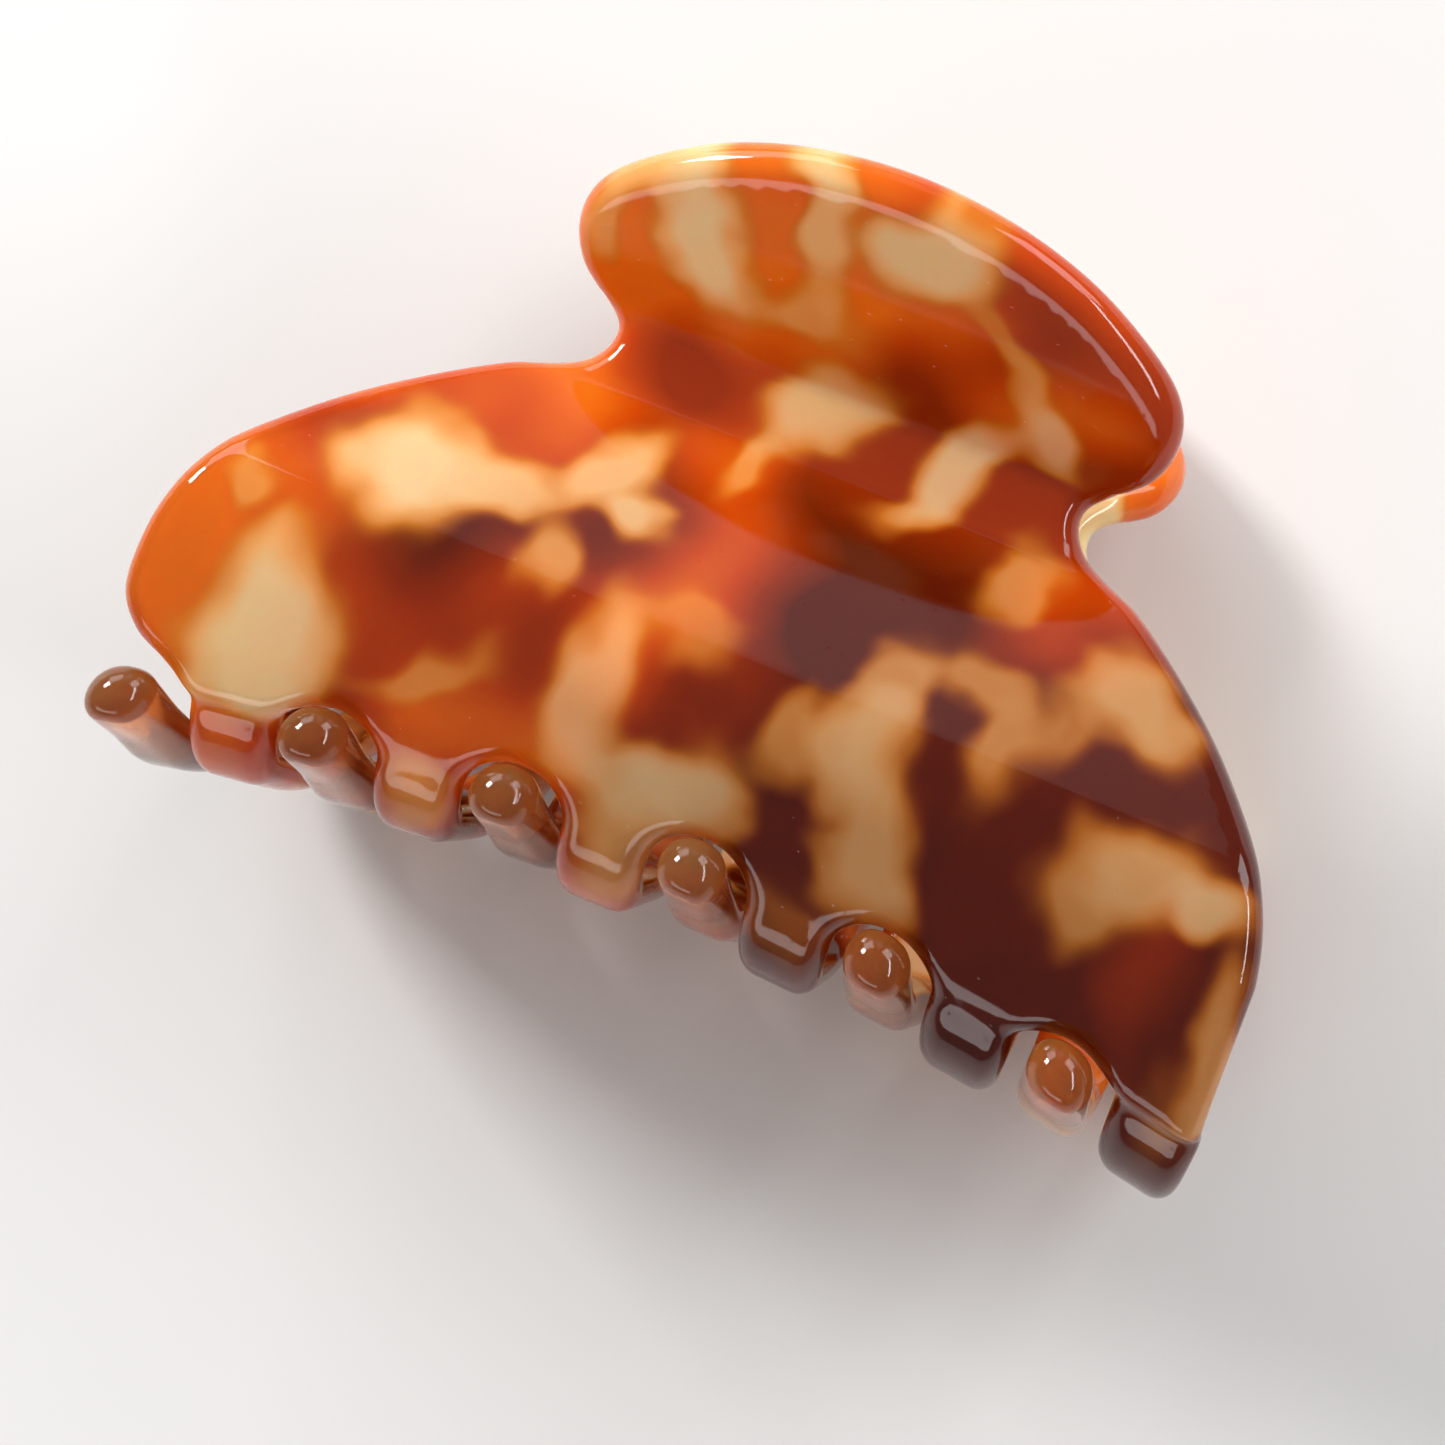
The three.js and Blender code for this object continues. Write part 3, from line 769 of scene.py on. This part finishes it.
    # Nibs left by the tumbling, a quarter of a millimetre wide and 4 mm apart.
    nibs = add_node(
        tree, "ShaderNodeTexVoronoi", {"voronoi_dimensions": "2D", "Scale": 1 / 4}, {"Vector": place}
    ).outputs["Distance"]
    nib = add_node(
        tree,
        "ShaderNodeMapRange",
        {"From Min": 0.035, "From Max": 0.015, "To Max": 6.0},
        {"Value": nibs},
    ).outputs["Result"]
    height = add_node(tree, "ShaderNodeMath", {"operation": "ADD"}, {0: scuffs, 1: nib}).outputs["Value"]
    bump = add_node(
        tree, "ShaderNodeBump", {"Strength": 0.2, "Distance": 0.00001}, {"Height": height}
    ).outputs["Normal"]
    tree.links.new(bump, shader.inputs["Normal"])
    shader.subsurface_method = "RANDOM_WALK"
    shader.inputs["Subsurface Weight"].default_value = 1.0
    shader.inputs["Subsurface Radius"].default_value = (1.0, 0.45, 0.2)
    shader.inputs["Subsurface Scale"].default_value = 0.0025
    shader.inputs["IOR"].default_value = 1.48
    return material


def plated_steel(name, code, roughness):
    """Stamped or turned steel under bright nickel: a warm grey shine with rolling marks and small dents."""
    material, tree, shader = new_material(name)
    place = add_node(tree, "ShaderNodeTexCoord").outputs["Object"]
    # Rolling marks run along the leaves, a millimetre long and 0.2 mm wide.
    stretched = add_node(
        tree,
        "ShaderNodeMapping",
        {"Scale": (1 / (1.0 * MM), 1 / (0.2 * MM), 1 / (0.2 * MM))},
        {"Vector": place},
    ).outputs[0]
    marks = add_node(
        tree,
        "ShaderNodeTexNoise",
        {"Scale": 1.0, "Detail": 4.0, "Roughness": 0.6},
        {"Vector": stretched},
    ).outputs["Fac"]
    tint = add_node(
        tree, "ShaderNodeValToRGB", {"stops": [(0.3, code), (0.75, "E6E2D8")]}, {"Fac": marks}
    ).outputs["Color"]
    tree.links.new(tint, shader.inputs["Base Color"])
    rough = add_node(
        tree,
        "ShaderNodeMapRange",
        {"From Min": 0.3, "From Max": 0.7, "To Min": roughness * 0.7, "To Max": roughness * 1.4},
        {"Value": marks},
    ).outputs[0]
    tree.links.new(rough, shader.inputs["Roughness"])
    bump = add_node(
        tree,
        "ShaderNodeBump",
        {"Strength": 0.25, "Distance": 0.00003},
        {"Height": marks},
    ).outputs[0]
    tree.links.new(bump, shader.inputs["Normal"])
    shader.inputs["Metallic"].default_value = 1.0
    return material


# ---- the jaws ----
sides = {"front": "front_side", "back": "back_side"}
shells = {
    "front": acetate("acetate_tumbled_front", FRONT_CHIPS, 0),
    "back": acetate("acetate_tumbled_back", None, 3),
}
for side, body in sides.items():
    mesh = sheet_mesh(side + "_jaw_sheet")
    place_at_pin(mesh, side)
    fit_inside(mesh, side + "_jaw")
    mesh.materials.append(shells[side])
    jaw = add_piece(side + "_jaw_sheet", mesh, body, side + "_jaw")

# ---- the hinge ----
nickel = plated_steel("steel_nickel_plated", "B9B3A6", 0.22)
wire_finish = plated_steel("spring_wire_drawn", "8D8F90", 0.3)

spring_mesh = wire_mesh("spring_wire", wire_path(420), WIRE_RADIUS)
place_at_pin(spring_mesh, "front")
spring_mesh.materials.append(wire_finish)
spring = add_piece("spring_wire", spring_mesh, None)
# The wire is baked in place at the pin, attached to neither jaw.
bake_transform(spring)
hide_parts("torsion_spring")

for name, node in frame["nodes"].items():
    if "jaw" in name or name == "torsion_spring":
        continue
    node.data.materials.clear()
    node.data.materials.append(nickel)


# ---- the table and the light ----
def add_floor():
    """A plain pale table top."""
    mesh = bpy.data.meshes.new("table_top")
    half = 3.0
    corners = [(-half, -half, 0), (half, -half, 0), (half, half, 0), (-half, half, 0)]
    mesh.from_pydata(corners, [], [(0, 1, 2, 3)])
    mesh.transform(Matrix.Translation((0, 0, cad_box[0][2] - 0.0001)))
    material, tree, shader = new_material("matt_white_table")
    shader.inputs["Base Color"].default_value = linear("F4F2F0")
    shader.inputs["Roughness"].default_value = 0.8
    mesh.materials.append(material)
    add_piece("table_top", mesh, None)


def add_softbox(name, direction, distance, size, power, code="FFFFFF"):
    """A rectangular light that faces the clip from a direction, in metres and watts."""
    light = bpy.data.lights.new(name, "AREA")
    light.shape = "RECTANGLE"
    light.size, light.size_y = size
    light.energy = power
    light.color = linear(code)[:3]
    lamp = bpy.data.objects.new(name, light)
    aim = Vector(direction).normalized()
    lamp.location = PIN + aim * distance
    lamp.rotation_euler = aim.to_track_quat("Z", "Y").to_euler()
    bpy.context.scene.collection.objects.link(lamp)


add_floor()
add_softbox("lamp_left", (-0.78, 0.3, 0.53), 1.2, (0.3, 0.3), 10)
add_softbox("softbox_back_left", (-0.62, 0.66, 0.42), 1.3, (0.7, 0.6), 4.5)
add_softbox("softbox_back_right", (0.42, 0.75, 0.5), 1.3, (0.6, 0.6), 5)
add_softbox("softbox_front", (-0.15, -0.93, 0.33), 1.3, (1.3, 0.26), 2.8)
add_softbox("strip_right", (0.75, 0.2, 0.6), 1.3, (1.1, 0.14), 6)
# A far window, brightest in its middle, lays a faint milky band across the body.
for i in range(4):
    pane = (0.16 + 0.12 * i, 0.4 + 0.1 * i)
    add_softbox(f"window_far_{i}", (-0.15, 0.92, 0.33), 1.3, pane, 0.12 + 0.08 * i)

world = bpy.data.worlds.new("studio")
world.use_nodes = True
world.node_tree.nodes["Background"].inputs["Color"].default_value = linear("F2F4F6")
world.node_tree.nodes["Background"].inputs["Strength"].default_value = 0.23
bpy.context.scene.world = world
bpy.context.scene.view_settings.view_transform = "Standard"

# ---- the camera ----
camera_data = bpy.data.cameras.new("camera")
camera_data.sensor_width = 36
camera_data.lens = 74.7
camera_data.clip_start = 0.01
camera = bpy.data.objects.new("camera", camera_data)
target = Vector((-0.0015, PIN.y - 0.0252, PIN.z))
azimuth, elevation, roll = math.radians(9.27), math.radians(1.32), math.radians(22.4)
level = math.cos(elevation)
toward = Vector((math.sin(azimuth) * level, math.sin(elevation), math.cos(azimuth) * level))
right = (-toward).cross(Vector((0, 1, 0))).normalized()
up = right.cross(-toward)
turned_right = math.cos(roll) * right + math.sin(roll) * up
turned_up = math.cos(roll) * up - math.sin(roll) * right
facing = Matrix((turned_right, turned_up, toward)).transposed().to_4x4()
camera.matrix_world = Matrix.Translation(target + toward * 0.2514) @ facing
bpy.context.scene.collection.objects.link(camera)
bpy.context.scene.camera = camera
